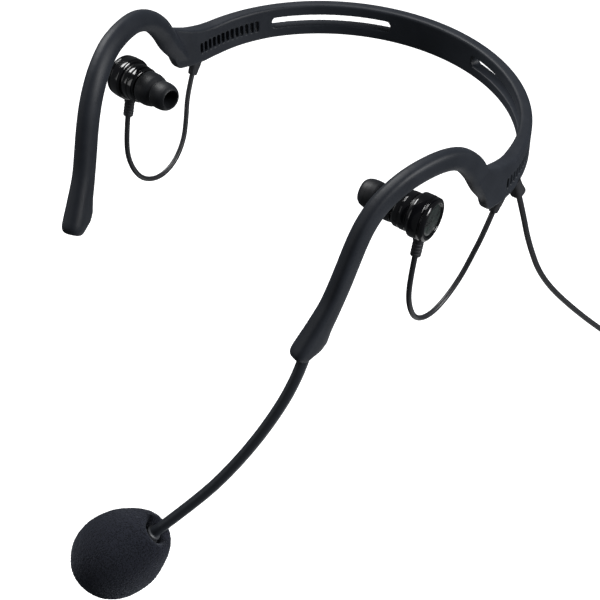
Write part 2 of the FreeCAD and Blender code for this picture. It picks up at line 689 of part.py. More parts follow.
def save_neckband():
    """The band, the ear hooks and the glands; returns the glands' ends and the main gland."""
    rail = (BAND_HEIGHT / 2 + SLOT_HEIGHT / 2) / 2
    spring = embedded_strip(SPRING_THICK, SPRING_HEIGHT, rail)
    bundle = embedded_strip(WIRE_BUNDLE, WIRE_BUNDLE, -rail)
    wire_line = [beside_ear(HOOK_LINE[index]) for index in HOOK_WIRE_POINTS]
    hook_wire = swept(wire_line, HOOK_WIRE / 2, "hook wire")
    board = Part.makeBox(BOARD_THICK, BOARD_LENGTH, BOARD_HEIGHT,
                         Vector(EAR_X - BOARD_THICK / 2, BOARD_Y - BOARD_LENGTH / 2,
                                BOARD_Z - BOARD_HEIGHT / 2))
    ear_gland_top, ear_gland_end = gland_line(EAR_GLAND_Y, 0.0, EAR_GLAND_REACH)
    ear_gland = tapered_gland(ear_gland_top, ear_gland_end, EAR_GLAND_TOP, EAR_GLAND_END)
    main_gland_top, main_gland_end = gland_line(MAIN_GLAND_Y, MAIN_GLAND_OUT, MAIN_GLAND_REACH)
    main_gland = tapered_gland(main_gland_top, main_gland_end, MAIN_GLAND_TOP, MAIN_GLAND_END)

    plain = build_band()
    sleeve = largest(build_hook(HOOK_IN_PLANE / 2, HOOK_ACROSS / 2).cut(plain).cut(hook_wire))
    band = plain.cut(spring).cut(bundle).cut(board)
    for piece in (hook_wire, ear_gland):
        band = band.cut(piece).cut(mirrored(piece))
    save("neckband_frame", largest(band.cut(main_gland)))
    save("neckband_spring_strip", spring)
    save("neckband_wire_bundle", bundle)
    save("junction_solder_board", board)
    save("main_cable_gland", main_gland)
    for side in ("left", "right"):
        turn = mirrored if side == "right" else Part.Shape
        save(side + "_hook_sleeve", turn(sleeve))
        save(side + "_hook_wire", turn(hook_wire))
        save(side + "_ear_cable_gland", turn(ear_gland))
    end = build_leg_end()
    save("right_leg_end_cap", mirrored(end))
    boom_way = unit(boom_point(1) - boom_point(0))
    ferrule_radius = BOOM_DIAMETER / 2 + FERRULE_WALL
    ferrule_top = boom_point(0) - boom_way * (FERRULE_LENGTH + FERRULE_GAP)
    ferrule = tube(ferrule_radius, BOOM_WIRE / 2 + WIRE_CLEARANCE, FERRULE_LENGTH, ferrule_top,
                   boom_way)
    room = cylinder(ferrule_radius, FERRULE_LENGTH + LEG_END_LENGTH, ferrule_top, boom_way)
    save("boom_ferrule", ferrule)
    save("left_leg_boom_socket", largest(end.cut(room)))
    return ear_gland_end, main_gland_end, main_gland


def main():
    os.makedirs("parts", exist_ok=True)
    ear_gland_end, main_gland_end, main_gland = save_neckband()
    for name, shape in build_bud(ear_gland_end).items():
        save("left_" + name, shape)
        save("right_" + name, mirrored(shape))
    save_boom()
    save_microphone()
    save_main_cable(main_gland, main_gland_end)


main()
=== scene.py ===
import bpy
import bmesh
import json
import math
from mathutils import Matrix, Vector, noise


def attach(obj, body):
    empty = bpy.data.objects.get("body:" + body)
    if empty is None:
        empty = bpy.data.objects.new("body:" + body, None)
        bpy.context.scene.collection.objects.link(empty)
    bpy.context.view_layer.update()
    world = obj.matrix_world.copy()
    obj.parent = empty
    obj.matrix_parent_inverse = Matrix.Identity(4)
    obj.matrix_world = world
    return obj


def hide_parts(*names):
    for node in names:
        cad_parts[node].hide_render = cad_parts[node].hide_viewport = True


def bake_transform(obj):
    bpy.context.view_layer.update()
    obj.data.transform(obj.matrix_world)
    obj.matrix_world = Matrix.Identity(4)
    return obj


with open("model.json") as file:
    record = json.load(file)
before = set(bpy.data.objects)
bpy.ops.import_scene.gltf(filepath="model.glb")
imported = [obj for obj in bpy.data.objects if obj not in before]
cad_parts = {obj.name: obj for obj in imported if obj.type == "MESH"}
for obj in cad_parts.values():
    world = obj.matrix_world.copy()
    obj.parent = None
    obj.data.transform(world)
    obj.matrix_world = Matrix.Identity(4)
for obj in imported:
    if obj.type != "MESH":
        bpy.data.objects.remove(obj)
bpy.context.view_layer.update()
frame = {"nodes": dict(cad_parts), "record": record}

# Headset microphone: skin, earphones, boom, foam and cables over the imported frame.
# Shapes are worked out in millimetres and made in metres.
MM = 0.001

# ---- sizes: millimetres, unless said otherwise --------------------------------
BAND_HALF_WIDTH = 66.0
BAND_HALF_DEPTH = 61.5
BAND_THICK = 3.9
BAND_HEIGHT = 12.9
BAND_CORNER = 1.05
BAND_OUTWARD = 2.2          # reach of the wall outward from its middle line
BAND_INWARD = 2.15
EAR_X = BAND_HALF_WIDTH + BAND_THICK / 2
CUT_REACH = BAND_THICK * 1.5
SLOT_HALF = 2.2             # half height
SLOT_START = 33.0           # degrees from the ear line
SLOT_WEB_HALF = 19.0
SLOT_END_ROUND = 1.6
SLOT_STEPS = 60
LADDER_START = 3.3          # degrees, to the first small slot
LADDER_PITCH = 2.0          # degrees
LADDER_COUNT = 13
LADDER_WIDTH = 1.2
LADDER_HALF = 2.25          # half height
PLATE_END_Y = -14.4
PLATE_STEP = 0.8            # between the junction plate's sections
PLATE_RINGS = 18
BAND_STEP = 1.5             # degrees between the band's sections
# extra thickness of the wall on its inner side, by y
INNER_SWELL = [(-14.0, -0.6), (-7.0, -0.4), (-1.0, 0.9), (4.0, 1.3), (12.0, 1.2), (22.0, 0.5),
               (34.0, 0.0)]
TOE_IN = 14.0               # degrees that the hooks turn in towards the leg ends
SKIN_VOXEL = 0.38
SLEEVE_STEPS = 40           # points round a hook
GLAND_STEPS = 36            # points round a gland
GLAND_SQUARENESS = 3.0
LATHE_STEPS = 96            # points round a turned part

BUD_FACE = 67.1             # outer face of a rear cap, from the middle plane
BUD_Y = -35.8
BUD_Z = 7.4
BUD_TURN = 6.0              # degrees that the axis leans forward on its way in
BUD_RISE = 0.055            # and its rise for each unit inward
CAP_RADIUS = 7.6
FRONT_RADIUS = 6.6
NECK_RADIUS = 6.35
BADGE_RADIUS = 5.5
TIP_START = 13.0            # from the outer face

BOOM_RADIUS = 1.95
BOOM_STUB = 5.0             # length hidden in the leg's end
BOOM_STEPS = 24             # rings from one hinge to the next
BOOM_BEND_REACH = 4.5       # each side of a hinge
MIC_WAY = Vector((-0.56, -0.45, -0.70)).normalized()
FOAM_WAY = Vector((-0.607, -0.465, -0.680)).normalized()
FOAM_OVERHANG = 2.0
FOAM_BORE = 3.9
FOAM_BORE_DEPTH = 15.0
FOAM_MIDDLE = 18.0          # along the axis from the mouth
FOAM_STEPS = 220            # points round the foam
# blunt mouth end, then the widest part beyond the middle: distance along, radius
FOAM_OUTLINE = [
    (1.4, 4.8),
    (0.6, 5.8),
    (1.2, 7.2),
    (3.8, 9.6),
    (8.2, 12.2),
    (13.4, 14.3),
    (18.5, 15.2),
    (24.0, 15.0),
    (29.5, 13.4),
    (34.0, 10.2),
    (37.2, 5.6),
    (38.4, 0.0),
]

MAIN_CABLE = 2.1
EAR_CABLE = 1.9
COIL_RADIUS = 13.0
COIL_BUNDLE = 4.75          # radius on which the turns lie round the bundle's middle
COIL_TURNS = 14
COIL_STEPS = 24             # points in each turn

# left hook, from the lobe over the ear to the leg's end: x is measured outside the
# mid-wall plane, then y, z, then the sleeve's reach outward and inward, and its half
# width seen from the side
HOOK = [
    (-0.20, -4.2, -0.6, 2.10, 2.6, 3.95),
    (-0.35, -7.3, 3.7, 2.40, 3.3, 4.05),
    (-0.55, -11.4, 9.5, 2.70, 3.9, 4.35),
    (-1.05, -15.3, 16.2, 2.95, 3.9, 4.3),
    (-1.95, -21.2, 22.5, 3.10, 3.6, 3.9),
    (-2.95, -28.6, 26.0, 3.15, 3.15, 3.85),
    (-4.65, -37.2, 26.9, 3.15, 3.15, 3.9),
    (-6.75, -46.2, 25.6, 3.15, 3.15, 3.95),
    (-8.95, -53.8, 21.6, 3.15, 3.15, 3.95),
    (-10.35, -58.8, 16.4, 3.20, 3.15, 3.9),
    (-11.25, -62.3, 10.6, 3.25, 3.15, 3.85),
    (-12.15, -65.4, 3.4, 3.30, 3.15, 3.8),
    (-13.10, -68.1, -3.6, 3.30, 3.20, 3.8),
    (-14.25, -71.2, -10.8, 3.30, 3.25, 3.85),
    (-15.60, -75.2, -17.4, 3.50, 3.45, 4.15),
    (-17.00, -79.2, -23.4, 3.80, 3.70, 4.45),
]
# how squarely the sleeve's corners are rounded, at the lobe and at the leg's end
SQUARENESS = {
    ("outer", "front"): (2.6, 2.5),
    ("outer", "back"): (3.6, 4.2),
    ("inner", "front"): (1.25, 4.2),
    ("inner", "back"): (1.35, 2.1),
}
# end of each leg: distance beyond the line, reach to the front and to the back,
# and how much of its width is left
LEG_END = [
    (0.7, 4.9, 4.5, 1.00),
    (1.6, 3.9, 4.6, 1.00),
    (2.6, 2.9, 4.6, 0.99),
    (3.6, 2.0, 4.5, 0.96),
    (4.5, 1.3, 4.1, 0.90),
    (5.2, 0.8, 3.3, 0.76),
    (5.6, 0.3, 2.1, 0.50),
]

BOOM_LINE = [
    (51.2, -82.2, -29.4),
    (50.4, -85.4, -37.0),
    (45.2, -92.4, -53.2),
    (37.6, -100.0, -70.2),
    (28.2, -108.0, -86.6),
    (14.6, -118.0, -105.0),
]
EAR_CABLE_LINE = [
    (67.35, 0.30, -10.95),
    (66.85, -3.60, -18.15),
    (65.20, -6.60, -26.20),
    (63.70, -10.40, -34.20),
    (62.60, -17.80, -40.20),
    (62.30, -26.60, -41.60),
    (62.40, -35.20, -37.20),
    (62.70, -40.10, -28.20),
    (62.90, -41.40, -18.20),
    (63.00, -38.90, -6.90),
]
MAIN_CABLE_LINE = [
    (67.86, 15.40, -11.60),
    (69.00, 18.40, -21.50),
    (70.70, 22.10, -36.50),
    (74.20, 29.30, -56.50),
    (83.60, 43.60, -77.50),
    (95.00, 59.00, -96.50),
    (101.20, 68.20, -111.00),
]
COIL_CENTRE = Vector((108.0, 80.0, -122.0))
COIL_OUT = Vector((0.5, 0.866, 0.0)).normalized()
TAIL_DROPS = (9.0, 15.5, 22.0)
TAIL_LENGTH = TAIL_DROPS[-1]
STRAP_RADIUS = 6.05
STRAP_THICK = 0.65
STRAP_LIFT = 0.75           # of the strap's end, laid over its start
STRAP_HALF = 2.0            # half its width
STRAP_STEPS = 72            # sections in one wrap
TAPER_LENGTH = 9.0
PLUG_RADIUS = 3.4

X_AXIS = Vector((1, 0, 0))
Z_AXIS = Vector((0, 0, 1))


# ---- finishes ----------------------------------------------------------------

class Signal:
    """One socket's value, so that shader maths reads as plain arithmetic."""

    def __init__(self, finish, socket):
        self.finish = finish
        self.socket = socket

    def math(self, operation, first, second):
        return self.finish.node("ShaderNodeMath", {"operation": operation},
                                {0: first, 1: second})

    def __add__(self, other):
        return self.math("ADD", self, other)

    __radd__ = __add__

    def __mul__(self, other):
        return self.math("MULTIPLY", self, other)

    __rmul__ = __mul__

    def soft_step(self, low, high):
        """0 below low, 1 above high, and a smooth rise between."""
        return self.finish.node("ShaderNodeMapRange", {"interpolation_type": "SMOOTHSTEP"},
                                {"Value": self, "From Min": low, "From Max": high})


class Finish:
    """A material and the nodes that feed its shader; the colour and roughness it starts
    with are plain ones, which most finishes then vary."""

    def __init__(self, name, colour, roughness, **constants):
        self.material = bpy.data.materials.new(name)
        self.material.use_nodes = True
        self.tree = self.material.node_tree
        self.tree.nodes.clear()
        output = self.tree.nodes.new("ShaderNodeOutputMaterial")
        self.shader = self.tree.nodes.new("ShaderNodeBsdfPrincipled")
        self.tree.links.new(self.shader.outputs[0], output.inputs["Surface"])
        self.feed("Base Color", colour)
        self.feed("Roughness", roughness)
        for name, value in constants.items():
            self.feed(name.replace("_", " "), value)

    def feed(self, name, value):
        self.join(self.shader.inputs[name], value)

    def join(self, socket, value):
        if isinstance(value, Signal):
            self.tree.links.new(value.socket, socket)
        elif socket.type == "RGBA" and len(value) == 3:
            socket.default_value = (*value, 1.0)
        else:
            socket.default_value = value

    def node(self, kind, settings, inputs, output=0):
        """Any node: its settings first, then the values or links of its sockets."""
        made = self.tree.nodes.new(kind)
        for name, value in settings.items():
            setattr(made, name, value)
        for name, value in inputs.items():
            self.join(made.inputs[name], value)
        return Signal(self, made.outputs[output])

    def place(self):
        return self.node("ShaderNodeTexCoord", {}, {}, "Object")

    def grain(self, per_metre, detail=2.0, roughness=0.5):
        """Soft noise, about 0 to 1 round 0.5."""
        return self.node("ShaderNodeTexNoise", {"noise_dimensions": "3D"},
                         {"Vector": self.place(), "Scale": per_metre,
                          "Detail": detail, "Roughness": roughness})

    def cells(self, per_metre):
        """Distance to the nearest cell point."""
        return self.node("ShaderNodeTexVoronoi", {"feature": "F1"},
                         {"Vector": self.place(), "Scale": per_metre})

    def blend(self, share, first, second):
        """Colour between two colours."""
        return self.node("ShaderNodeMix", {"data_type": "RGBA"},
                         {0: share, 6: first, 7: second}, 2)

    def relief(self, height, depth_mm, strength=1.0):
        """Bumps the surface by a height of 0 to 1."""
        normal = self.node("ShaderNodeBump", {},
                           {"Height": height, "Distance": depth_mm * MM, "Strength": strength})
        self.feed("Normal", normal)


def soft_touch():
    """Soft-touch skin: very fine grain, faint cloudiness and a broad sheen."""
    finish = Finish("soft_touch_skin", (0.02, 0.023, 0.03), 0.5,
                    IOR=1.5, Specular_IOR_Level=0.3, Sheen_Weight=0.05, Sheen_Roughness=0.45,
                    Sheen_Tint=(0.8, 0.88, 1.0))
    cloud = finish.grain(85.0, 3.0, 0.55)
    fine = finish.grain(5200.0, 2.0, 0.6)
    specks = finish.cells(1500.0).soft_step(0.10, 0.03) * finish.grain(240.0).soft_step(0.55, 0.75)
    tone = finish.blend(cloud.soft_step(0.3, 0.7), (0.0120, 0.0145, 0.0200), (0.0170, 0.0200, 0.0265))
    finish.feed("Base Color", finish.blend(specks * 0.35, tone, (0.035, 0.038, 0.045)))
    finish.feed("Roughness", 0.42 + cloud * 0.1 + fine * 0.08)
    finish.relief(fine, 0.03, 0.45)
    return finish


def cable_jacket():
    finish = Finish("cable_jacket", (0.016, 0.017, 0.02), 0.42, IOR=1.5)
    drag = finish.grain(420.0, 3.0, 0.6)
    finish.feed("Roughness", 0.34 + drag * 0.22)
    finish.feed("Base Color", finish.blend(drag, (0.013, 0.014, 0.0165), (0.021, 0.022, 0.026)))
    finish.relief(finish.grain(3000.0, 2.0), 0.02, 0.4)
    return finish


def relief_rubber():
    finish = Finish("relief_rubber", (0.014, 0.015, 0.018), 0.6, IOR=1.48)
    fine = finish.grain(3600.0, 3.0, 0.6)
    finish.feed("Roughness", 0.5 + fine * 0.2)
    finish.feed("Base Color", finish.blend(finish.grain(260.0), (0.012, 0.013, 0.016),
                                           (0.019, 0.02, 0.024)))
    finish.relief(fine, 0.03, 0.5)
    return finish


def gloss_shell():
    """Polished black plastic with hairline wear and a little moulding ripple."""
    finish = Finish("gloss_shell", (0.005, 0.005, 0.006), 0.06, IOR=1.52,
                    Coat_Roughness=0.03, Coat_IOR=1.5)
    hair = finish.grain(900.0, 4.0, 0.65)
    smear = finish.grain(160.0, 2.0, 0.5)
    finish.feed("Roughness", 0.11 + smear.soft_step(0.45, 0.8) * 0.06)
    finish.feed("Base Color", finish.blend(hair.soft_step(0.6, 0.8) * 0.4, (0.0035, 0.0035, 0.0045),
                                           (0.011, 0.0115, 0.013)))
    finish.feed("Coat Weight", 0.1 + smear * 0.15)
    finish.relief(finish.grain(60.0, 0.0), 0.01, 0.1)
    return finish


def dark_ring():
    finish = Finish("dark_ring", (0.01, 0.01, 0.012), 0.28, IOR=1.5)
    fine = finish.grain(1400.0, 2.0)
    finish.feed("Roughness", 0.22 + fine * 0.16)
    finish.feed("Base Color", finish.blend(fine, (0.007, 0.007, 0.009), (0.014, 0.015, 0.017)))
    finish.relief(fine, 0.02, 0.3)
    return finish


def badge_disc():
    """Plain disc with fine turned rings; a faint green sheen is painted into its colour in patches.
    """
    finish = Finish("badge_disc", (0.01, 0.02, 0.016), 0.22, Metallic=0.0, IOR=1.5,
                    Coat_Roughness=0.08)
    place = finish.place()
    offset = finish.node("ShaderNodeVectorMath", {"operation": "SUBTRACT"},
                         {0: place, 1: (0.0, BUD_Y * MM, BUD_Z * MM)})
    flat = finish.node("ShaderNodeVectorMath", {"operation": "MULTIPLY"},
                       {0: offset, 1: (0.0, 1.0, 1.0)})
    reach = finish.node("ShaderNodeVectorMath", {"operation": "LENGTH"}, {0: flat}, "Value")
    rings = finish.node("ShaderNodeMath", {"operation": "SINE"}, {0: reach * 26000.0})
    patch = finish.grain(420.0, 3.0, 0.6)
    # painted sheen: patches of green in the base colour stand in for the disc's greenish glint
    finish.feed("Base Color", finish.blend(patch.soft_step(0.38, 0.66), (0.004, 0.006, 0.0055),
                                           (0.014, 0.024, 0.02)))
    finish.feed("Roughness", 0.2 + patch * 0.2)
    finish.feed("Coat Weight", 0.3 + patch * 0.3)
    finish.relief(rings * 0.5 + 0.5, 0.025, 0.4)
    return finish


def silicone():
    finish = Finish("silicone_tip", (0.012, 0.013, 0.016), 0.5, IOR=1.42,
                    Sheen_Weight=0.06, Sheen_Roughness=0.4, Sheen_Tint=(0.85, 0.92, 1.0))
    bloom = finish.grain(330.0, 3.0, 0.6)
    finish.feed("Roughness", 0.42 + bloom * 0.18)
    finish.feed("Base Color", finish.blend(bloom, (0.0045, 0.0052, 0.0070), (0.0105, 0.0118, 0.0150)))
    finish.relief(finish.grain(2600.0, 2.0), 0.02, 0.35)
    return finish


def boom_sleeve():
    """Extruded satin sleeve, faintly cloudy."""
    finish = Finish("boom_sleeve", (0.015, 0.0165, 0.021), 0.4, IOR=1.5,
                    Sheen_Weight=0.08, Sheen_Tint=(0.8, 0.9, 1.0))
    drag = finish.grain(520.0, 3.0, 0.55)
    fine = finish.grain(4800.0, 2.0)
    finish.feed("Roughness", 0.33 + drag * 0.16 + fine * 0.05)
    finish.feed("Base Color", finish.blend(drag, (0.0120, 0.0145, 0.0195), (0.0170, 0.0200, 0.0260)))
    finish.relief(fine, 0.025, 0.4)
    return finish


def foam():
    """Open-cell foam: pale cell edges, with painted shade darkening the pores between them."""
    finish = Finish("foam", (0.016, 0.017, 0.024), 0.95, IOR=1.35, Specular_IOR_Level=0.25,
                    Sheen_Weight=0.12, Sheen_Roughness=0.5, Sheen_Tint=(0.8, 0.86, 1.0))
    pores = finish.cells(1500.0)
    small = finish.cells(3300.0)
    cloud = finish.grain(90.0, 3.0, 0.6)
    web = (pores.soft_step(0.15, 0.6) + small.soft_step(0.2, 0.7) * 0.5) * 0.6667
    # painted shade: the pores get a much darker colour than the cell edges, standing in for shade in
    # the holes
    tone = finish.blend(web, (0.0025, 0.0028, 0.0042), (0.0165, 0.0185, 0.027))
    finish.feed("Base Color", finish.blend(cloud.soft_step(0.35, 0.75) * 0.3, tone,
                                           (0.0185, 0.0205, 0.029)))
    finish.relief(web, 0.3, 0.8)
    return finish


def plain_metal(name, low, high, roughness, lines):
    """Bare metal with a fine uneven tone."""
    finish = Finish(name, low, roughness, Metallic=1.0)
    streak = finish.grain(lines, 3.0, 0.6)
    finish.feed("Base Color", finish.blend(streak, low, high))
    finish.feed("Roughness", streak * 0.16 + (roughness - 0.06))
    finish.relief(streak, 0.01, 0.3)
    return finish


def painted_metal():
    finish = Finish("mic_paint", (0.13, 0.135, 0.15), 0.4, IOR=1.5)
    fine = finish.grain(2400.0, 2.0)
    finish.feed("Roughness", 0.34 + fine * 0.14)
    finish.feed("Base Color", finish.blend(fine, (0.030, 0.032, 0.037), (0.060, 0.063, 0.070)))
    finish.relief(fine, 0.02, 0.3)
    return finish


def tie_fabric():
    """Hook-and-loop strap with short loops."""
    finish = Finish("tie_fabric", (0.02, 0.02, 0.022), 0.95, Sheen_Weight=0.4,
                    Specular_IOR_Level=0.2)
    loops = finish.cells(2600.0)
    finish.feed("Base Color", finish.blend(loops, (0.008, 0.008, 0.01), (0.045, 0.045, 0.05)))
    finish.relief(loops, 0.25, 0.9)
    return finish


def moulded(name, low, high, roughness):
    finish = Finish(name, low, roughness, IOR=1.5)
    fine = finish.grain(1800.0, 2.0)
    finish.feed("Base Color", finish.blend(fine, low, high))
    finish.feed("Roughness", fine * 0.12 + (roughness - 0.05))
    finish.relief(fine, 0.02, 0.3)
    return finish


FINISHES = {
    "soft_black": soft_touch(),
    "cable_jacket": cable_jacket(),
    "strain_relief": relief_rubber(),
    "gloss_shell": gloss_shell(),
    "dark_ring": dark_ring(),
    "badge": badge_disc(),
    "steel": plain_metal("spring_steel", (0.42, 0.43, 0.45), (0.6, 0.61, 0.63), 0.34, 1800.0),
    "mesh": moulded("woven_mesh", (0.03, 0.03, 0.034), (0.09, 0.09, 0.1), 0.45),
    "silicone": silicone(),
    "copper": plain_metal("copper_wire", (0.62, 0.33, 0.2), (0.78, 0.46, 0.3), 0.3, 2200.0),
    "board": moulded("solder_board", (0.008, 0.07, 0.03), (0.015, 0.11, 0.045), 0.35),
    "boom_sleeve": boom_sleeve(),
    "mic_metal": painted_metal(),
    "foam": foam(),
    "tie": tie_fabric(),
    "plug_gold": plain_metal("plug_gold", (0.75, 0.56, 0.24), (0.88, 0.7, 0.38), 0.2, 2600.0),
    "insulator": moulded("insulator", (0.012, 0.012, 0.013), (0.025, 0.025, 0.027), 0.4),
}


# ---- making meshes -------------------------------------------------------------

def show(piece, slot_name):
    bpy.context.scene.collection.objects.link(piece)
    piece.data.materials.clear()
    piece.data.materials.append(FINISHES[slot_name].material)
    return piece


def raw_mesh(name, points, faces):
    """Closed mesh in metres from points in millimetres, welded and facing outward."""
    mesh = bpy.data.meshes.new(name)
    mesh.from_pydata([point * MM for point in points], [], faces)
    work = bmesh.new()
    work.from_mesh(mesh)
    bmesh.ops.remove_doubles(work, verts=work.verts, dist=1e-6)
    bmesh.ops.recalc_face_normals(work, faces=work.faces)
    work.to_mesh(mesh)
    work.free()
    return mesh


def finish_shading(mesh, sharp_degrees):
    mesh.shade_smooth()
    mesh.set_sharp_from_angle(angle=math.radians(sharp_degrees))


def make_piece(name, points, faces, slot_name, sharp_degrees):
    mesh = raw_mesh(name, points, faces)
    finish_shading(mesh, sharp_degrees)
    return show(bpy.data.objects.new(name, mesh), slot_name)


def loft(rings, loop=False):
    """Points and faces of a tube through rings of equal count, closed at both ends."""
    count = len(rings[0])
    points = [point for ring in rings for point in ring]
    faces = []
    last = len(rings) if loop else len(rings) - 1
    for row in range(last):
        here = row * count
        ahead = (row + 1) % len(rings) * count
        for index in range(count):
            beside = (index + 1) % count
            faces.append((here + index, here + beside, ahead + beside, ahead + index))
    if not loop:
        faces.append(tuple(range(count)))
        faces.append(tuple(range(len(points) - count, len(points))))
    return points, faces


def joined(parts):
    """One list of points and faces from several."""
    points = []
    faces = []
    for more_points, more_faces in parts:
        first = len(points)
        points += more_points
        faces += [tuple(first + index for index in face) for face in more_faces]
    return points, faces


def mirrored(part):
    points, faces = part
    return [Vector((-point.x, point.y, point.z)) for point in points], faces


def between(value, stops):
    """Straight-line reading of a table of (place, value)."""
    for (low, first), (high, second) in zip(stops, stops[1:]):
        if value <= high:
            share = max(0.0, (value - low) / (high - low))
            return first + (second - first) * share
    return stops[-1][1]


def smooth_rows(rows, steps):
    """Rows of numbers filled in along a smooth line that passes through each."""
    filled = []
    last = len(rows) - 1
    for index in range(last):
        a = Vector(rows[max(index - 1, 0)])
        b = Vector(rows[index])
        c = Vector(rows[index + 1])
        d = Vector(rows[min(index + 2, last)])
        for step in range(steps):
            t = step / steps
            filled.append(0.5 * (2 * b + (c - a) * t + (2 * a - 5 * b + 4 * c - d) * t ** 2
                                 + (3 * b - a - 3 * c + d) * t ** 3))
    filled.append(Vector(rows[last]))
    return filled


def eased(profile, radius, steps=3):
    """Profile with every corner between its two ends rounded."""
    out = [Vector(profile[0])]
    for before, corner, after in zip(profile, profile[1:], profile[2:]):
        before = Vector(before)
        corner = Vector(corner)
        after = Vector(after)
        start = corner + (before - corner) * min(0.45, radius / (before - corner).length)
        end = corner + (after - corner) * min(0.45, radius / (after - corner).length)
        for step in range(steps + 1):
            t = step / steps
            out.append(start * (1 - t) ** 2 + corner * 2 * t * (1 - t) + end * t ** 2)
    out.append(Vector(profile[-1]))
    return out


def lathe(profile, start, way, steps=LATHE_STEPS, loop=False):
    """Turned part from (distance along, radius) pairs, from start along way."""
    way = way.normalized()
    side = way.orthogonal().normalized()
    rise = way.cross(side)
    rings = []
    for along, radius in profile:
        middle = start + way * along
        ring = []
        for index in range(steps):
            turn = 2 * math.pi * index / steps
            ring.append(middle + (side * math.cos(turn) + rise * math.sin(turn)) * radius)
        rings.append(ring)
    return loft(rings, loop)


def turned_piece(name, profile, start, way, slot_name, radius, steps=LATHE_STEPS):
    """Turned part with its corners rounded to a radius."""
    points, faces = lathe(eased(profile, radius), start, way, steps)
    return make_piece(name, points, faces, slot_name, 60.0)


def signed_power(value, power):
    return math.copysign(abs(value) ** power, value)


def place_on(piece, body, *nodes):
    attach(piece, body)
    if nodes:
        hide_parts(*nodes)
    return piece


# ---- skin: band, junctions, hooks and leg ends --------------------------------

def ring_point(degrees):
    """Mid-wall point of the band and its outward direction, from the left ear."""
    turn = math.radians(degrees)
    half_depth = BAND_HALF_DEPTH + BAND_THICK / 2
    point = Vector((EAR_X * math.cos(turn), half_depth * math.sin(turn), 0))
    out = Vector((math.cos(turn) / EAR_X, math.sin(turn) / half_depth, 0)).normalized()
    return point, out


def band_edges(y):
    """Lower and upper edge of the band and of the junction plate beside it."""
    half = BAND_HEIGHT / 2
    low = between(y, [(PLATE_END_Y, 9.4), (-9.6, 0.6), (-8.2, -3.0), (-6.8, -4.8), (-1.0, -5.8),
                      (5.8, -half), (10.0, -half)])
    high = between(y, [(PLATE_END_Y, 11.2), (-9.8, 13.6), (-3.6, 10.6), (-0.8, 9.3), (3.2, 7.9),
                       (7.0, 6.9), (11.0, half), (12.0, half)])
    return low, high


def band_ring(point, out):
    """Rounded-rectangle section of the band, standing on its edges."""
    low, high = band_edges(point.y)
    inward = BAND_INWARD + between(point.y, INNER_SWELL)
    corner = min(BAND_CORNER, (high - low) / 2 - 0.1)
    ring = []
    for quarter in range(4):
        across = BAND_OUTWARD - BAND_CORNER if quarter in (0, 3) else BAND_CORNER - inward
        level = high - corner if quarter in (0, 1) else low + corner
        for step in range(5):
            turn = math.radians(90 * quarter + 90 * step / 4)
            ring.append(Vector((point.x, point.y, level))
                        + out * (across + BAND_CORNER * math.cos(turn))
                        + Z_AXIS * (corner * math.sin(turn)))
    return ring


def band_solid():
    plate = [PLATE_END_Y + PLATE_STEP * index for index in range(PLATE_RINGS)]
    last = int(180 / BAND_STEP)
    rings = [band_ring(Vector((EAR_X, y, 0)), X_AXIS) for y in plate]
    rings += [band_ring(*ring_point(BAND_STEP * index)) for index in range(last + 1)]
    rings += [band_ring(Vector((-EAR_X, y, 0)), -X_AXIS) for y in reversed(plate)]
    return loft(rings)


def slot_block(centre, out, half_along, half_height):
    along = Z_AXIS.cross(out)
    ring = [centre + along * half_along + Z_AXIS * half_height,
            centre - along * half_along + Z_AXIS * half_height,
            centre - along * half_along - Z_AXIS * half_height,
            centre + along * half_along - Z_AXIS * half_height]
    reach = out * CUT_REACH
    return loft([[point - reach for point in ring], [point + reach for point in ring]])


def long_slot():
    """Curved cutter with rounded ends, from beside the ladder to the web at the back."""
    end = math.degrees(math.acos(SLOT_WEB_HALF / EAR_X))
    length = EAR_X * math.radians(end - SLOT_START)
    rings = []
    for index in range(SLOT_STEPS + 1):
        share = index / SLOT_STEPS
        centre, out = ring_point(SLOT_START + (end - SLOT_START) * share)
        from_end = min(share, 1 - share) * length + 0.15
        rounding = max(0.0, 1 - from_end / SLOT_END_ROUND)
        half = SLOT_HALF * math.sqrt(max(0.08, 1 - rounding ** 2))
        reach = out * CUT_REACH
        rings.append([centre - reach - Z_AXIS * half, centre + reach - Z_AXIS * half,
                      centre + reach + Z_AXIS * half, centre - reach + Z_AXIS * half])
    return loft(rings)


def slot_cutters():
    cutters = [long_slot()]
    for index in range(LADDER_COUNT):
        centre, out = ring_point(LADDER_START + LADDER_PITCH * index)
        cutters.append(slot_block(centre, out, LADDER_WIDTH / 2, LADDER_HALF))
    return joined(cutters + [mirrored(cutter) for cutter in cutters])


def squareness(outer, front, share):
    at_lobe, at_end = SQUARENESS["outer" if outer else "inner", "front" if front else "back"]
    return at_lobe + (at_end - at_lobe) * share ** 1.4


def sleeve_ring(row, along, across, front, back, width, share):
    """Section of a hook: flat outer side, bevelled front edge, rounder inner side."""
    centre = Vector((EAR_X + row[0], row[1], row[2]))
    side = (across - along * across.dot(along)).normalized()
    rise = along.cross(side).normalized()
    ring = []
    for index in range(SLEEVE_STEPS):
        turn = 2 * math.pi * index / SLEEVE_STEPS
        outer = math.cos(turn) > 0
        ahead = math.sin(turn) < 0
        power = 2 / squareness(outer, ahead, share)
        reach = (row[3] if outer else row[4]) * width
        half = front if ahead else back
        ring.append(centre + side * (signed_power(math.cos(turn), power) * reach)
                    + rise * (signed_power(math.sin(turn), power) * half))
    return ring


